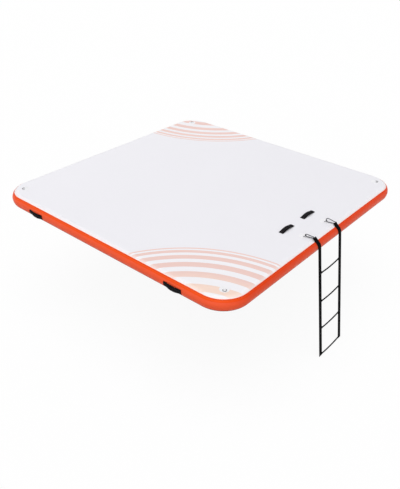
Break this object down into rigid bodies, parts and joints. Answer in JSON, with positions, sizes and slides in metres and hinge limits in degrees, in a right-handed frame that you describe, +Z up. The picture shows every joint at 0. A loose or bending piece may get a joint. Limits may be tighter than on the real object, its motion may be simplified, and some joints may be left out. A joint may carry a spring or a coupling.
{
  "type": "inflatable dock platform",
  "caption": "Square inflatable floating dock of drop-stitch fabric with grab handles, D-rings and a hooked-on webbing boarding ladder.",
  "frame": {"origin": "middle of the dock's flat underside, which lies on the water", "axes": "+Z up through the deck; the ladder hangs at the -Y edge; the wall with two handles that the picture shows faces -X"},
  "size_m": [3.0864, 3.2595, 1.37],
  "materials": {
    "white_pvc": "matt coated fabric with a fine cloth emboss, printed stripes",
    "orange_pvc": "satin coated fabric",
    "orange_tape": "satin seam tape",
    "patch_pvc": "satin coated fabric patch",
    "polyester": "woven cloth",
    "black_webbing": "woven webbing",
    "grey_webbing": "woven webbing with stitching",
    "black_neoprene": "fabric faced foam rubber",
    "steel": "polished stainless wire",
    "spring_steel": "bright drawn wire",
    "grey_plastic": "moulded, fine grained"
  },
  "bodies": {
    "dock": {"bottom_skin": "white_pvc", "deck_handle_left_pad": "black_neoprene", "deck_handle_left_webbing": "grey_webbing", "deck_handle_right_pad": "black_neoprene", "deck_handle_right_webbing": "grey_webbing", "deck_skin": "white_pvc", "dring_patch_back_left": "patch_pvc", "dring_patch_back_right": "patch_pvc", "dring_patch_front_left": "patch_pvc", "dring_patch_front_right": "patch_pvc", "dring_patch_ladder_left": "patch_pvc", "dring_patch_ladder_right": "patch_pvc", "drop_stitch_core": "polyester", "ladder_top_strap_left": "black_webbing", "ladder_top_strap_right": "black_webbing", "lower_seam_tape": "orange_tape", "side_band": "orange_pvc", "side_handle_left_back_pad": "black_neoprene", "side_handle_left_back_webbing": "grey_webbing", "side_handle_left_front_pad": "black_neoprene", "side_handle_left_front_webbing": "grey_webbing", "side_handle_right_back_pad": "black_neoprene", "side_handle_right_back_webbing": "grey_webbing", "side_handle_right_front_pad": "black_neoprene", "side_handle_right_front_webbing": "grey_webbing", "upper_seam_tape": "orange_tape", "valve_body": "grey_plastic", "valve_nut": "grey_plastic", "valve_spring": "spring_steel", "valve_tether": "grey_plastic"},
    "dring_front_left": {"dring_front_left": "steel"},
    "dring_front_right": {"dring_front_right": "steel"},
    "dring_back_left": {"dring_back_left": "steel"},
    "dring_back_right": {"dring_back_right": "steel"},
    "dring_ladder_left": {"dring_ladder_left": "steel"},
    "carabiner_left": {"carabiner_frame_left": "steel", "carabiner_rivet_left": "steel"},
    "carabiner_gate_left": {"carabiner_gate_left": "steel"},
    "dring_ladder_right": {"dring_ladder_right": "steel"},
    "carabiner_right": {"carabiner_frame_right": "steel", "carabiner_rivet_right": "steel"},
    "carabiner_gate_right": {"carabiner_gate_right": "steel"},
    "ladder_link_1": {"ladder_strap_left_1": "black_webbing", "ladder_strap_right_1": "black_webbing", "ladder_rung_1": "black_webbing"},
    "ladder_link_2": {"ladder_strap_left_2": "black_webbing", "ladder_strap_right_2": "black_webbing", "ladder_rung_2": "black_webbing"},
    "ladder_link_3": {"ladder_strap_left_3": "black_webbing", "ladder_strap_right_3": "black_webbing", "ladder_rung_3": "black_webbing"},
    "ladder_link_4": {"ladder_strap_left_4": "black_webbing", "ladder_strap_right_4": "black_webbing", "ladder_rung_4": "black_webbing"},
    "valve_poppet": {"valve_poppet": "grey_plastic"},
    "valve_cap": {"valve_cap": "grey_plastic"}
  },
  "joints": [
    {"name": "dring_front_left_flip", "type": "hinge", "parent": "dock", "child": "dring_front_left", "pos_m": [-1.34851, -1.34851, 0.155], "axis": [-0.7071, 0.7071, 0], "range_deg": [0, 150]},
    {"name": "dring_front_right_flip", "type": "hinge", "parent": "dock", "child": "dring_front_right", "pos_m": [1.34851, -1.34851, 0.155], "axis": [-0.7071, -0.7071, 0], "range_deg": [0, 150]},
    {"name": "dring_back_left_flip", "type": "hinge", "parent": "dock", "child": "dring_back_left", "pos_m": [-1.34851, 1.34851, 0.155], "axis": [0.7071, 0.7071, 0], "range_deg": [0, 150]},
    {"name": "dring_back_right_flip", "type": "hinge", "parent": "dock", "child": "dring_back_right", "pos_m": [1.34851, 1.34851, 0.155], "axis": [0.7071, -0.7071, 0], "range_deg": [0, 150]},
    {"name": "dring_ladder_left_lift", "type": "hinge", "parent": "dock", "child": "dring_ladder_left", "pos_m": [-0.1905, -1.38115, 0.155], "axis": [-1, 0, 0], "range_deg": [0, 5]},
    {"name": "dring_ladder_right_lift", "type": "hinge", "parent": "dock", "child": "dring_ladder_right", "pos_m": [0.1905, -1.38127, 0.155], "axis": [-1, 0, 0], "range_deg": [0, 5]},
    {"name": "carabiner_left_roll", "type": "hinge", "parent": "dock", "child": "carabiner_left", "pos_m": [-0.17258, -1.47586, 0.1653], "axis": [0.225, -0.9744, 0], "range_deg": [-10, 10]},
    {"name": "carabiner_right_roll", "type": "hinge", "parent": "dock", "child": "carabiner_right", "pos_m": [0.2076, -1.47605, 0.1653], "axis": [0.225, -0.9744, 0], "range_deg": [-10, 10]},
    {"name": "carabiner_left_gate_swing", "type": "hinge", "parent": "carabiner_left", "child": "carabiner_gate_left", "pos_m": [-0.17836, -1.47362, 0.17493], "axis": [-0.8603, -0.1986, -0.4695], "range_deg": [0, 22], "stiffness_Nm_per_rad": 0.1, "springref_deg": -11.46},
    {"name": "carabiner_right_gate_swing", "type": "hinge", "parent": "carabiner_right", "child": "carabiner_gate_right", "pos_m": [0.20681, -1.47266, 0.17621], "axis": [-0.9744, -0.225, 0], "range_deg": [0, 22], "stiffness_Nm_per_rad": 0.1, "springref_deg": -11.46},
    {"name": "ladder_swing", "type": "hinge", "parent": "dock", "child": "ladder_link_1", "pos_m": [0.053, -1.53122, 0.06], "axis": [-1, 0, 0], "range_deg": [-30, 60]},
    {"name": "ladder_fold_1", "type": "hinge", "parent": "ladder_link_1", "child": "ladder_link_2", "pos_m": [0.053, -1.57264, -0.21389], "axis": [-1, 0, 0], "range_deg": [-35, 70]},
    {"name": "ladder_fold_2", "type": "hinge", "parent": "ladder_link_2", "child": "ladder_link_3", "pos_m": [0.053, -1.62019, -0.52831], "axis": [-1, 0, 0], "range_deg": [-35, 70]},
    {"name": "ladder_fold_3", "type": "hinge", "parent": "ladder_link_3", "child": "ladder_link_4", "pos_m": [0.053, -1.66774, -0.84273], "axis": [-1, 0, 0], "range_deg": [-35, 70]},
    {"name": "valve_poppet_push", "type": "slide", "parent": "dock", "child": "valve_poppet", "axis": [0, -1, 0], "range_m": [0, 0.005], "stiffness_N_per_m": 400, "springref_m": -0.003, "deforming": ["valve_spring"]},
    {"name": "valve_cap_turn", "type": "hinge", "parent": "dock", "child": "valve_cap", "pos_m": [-0.9, 1.525, 0.075], "axis": [0, 1, 0], "range_deg": [0, 90]}
  ]
}
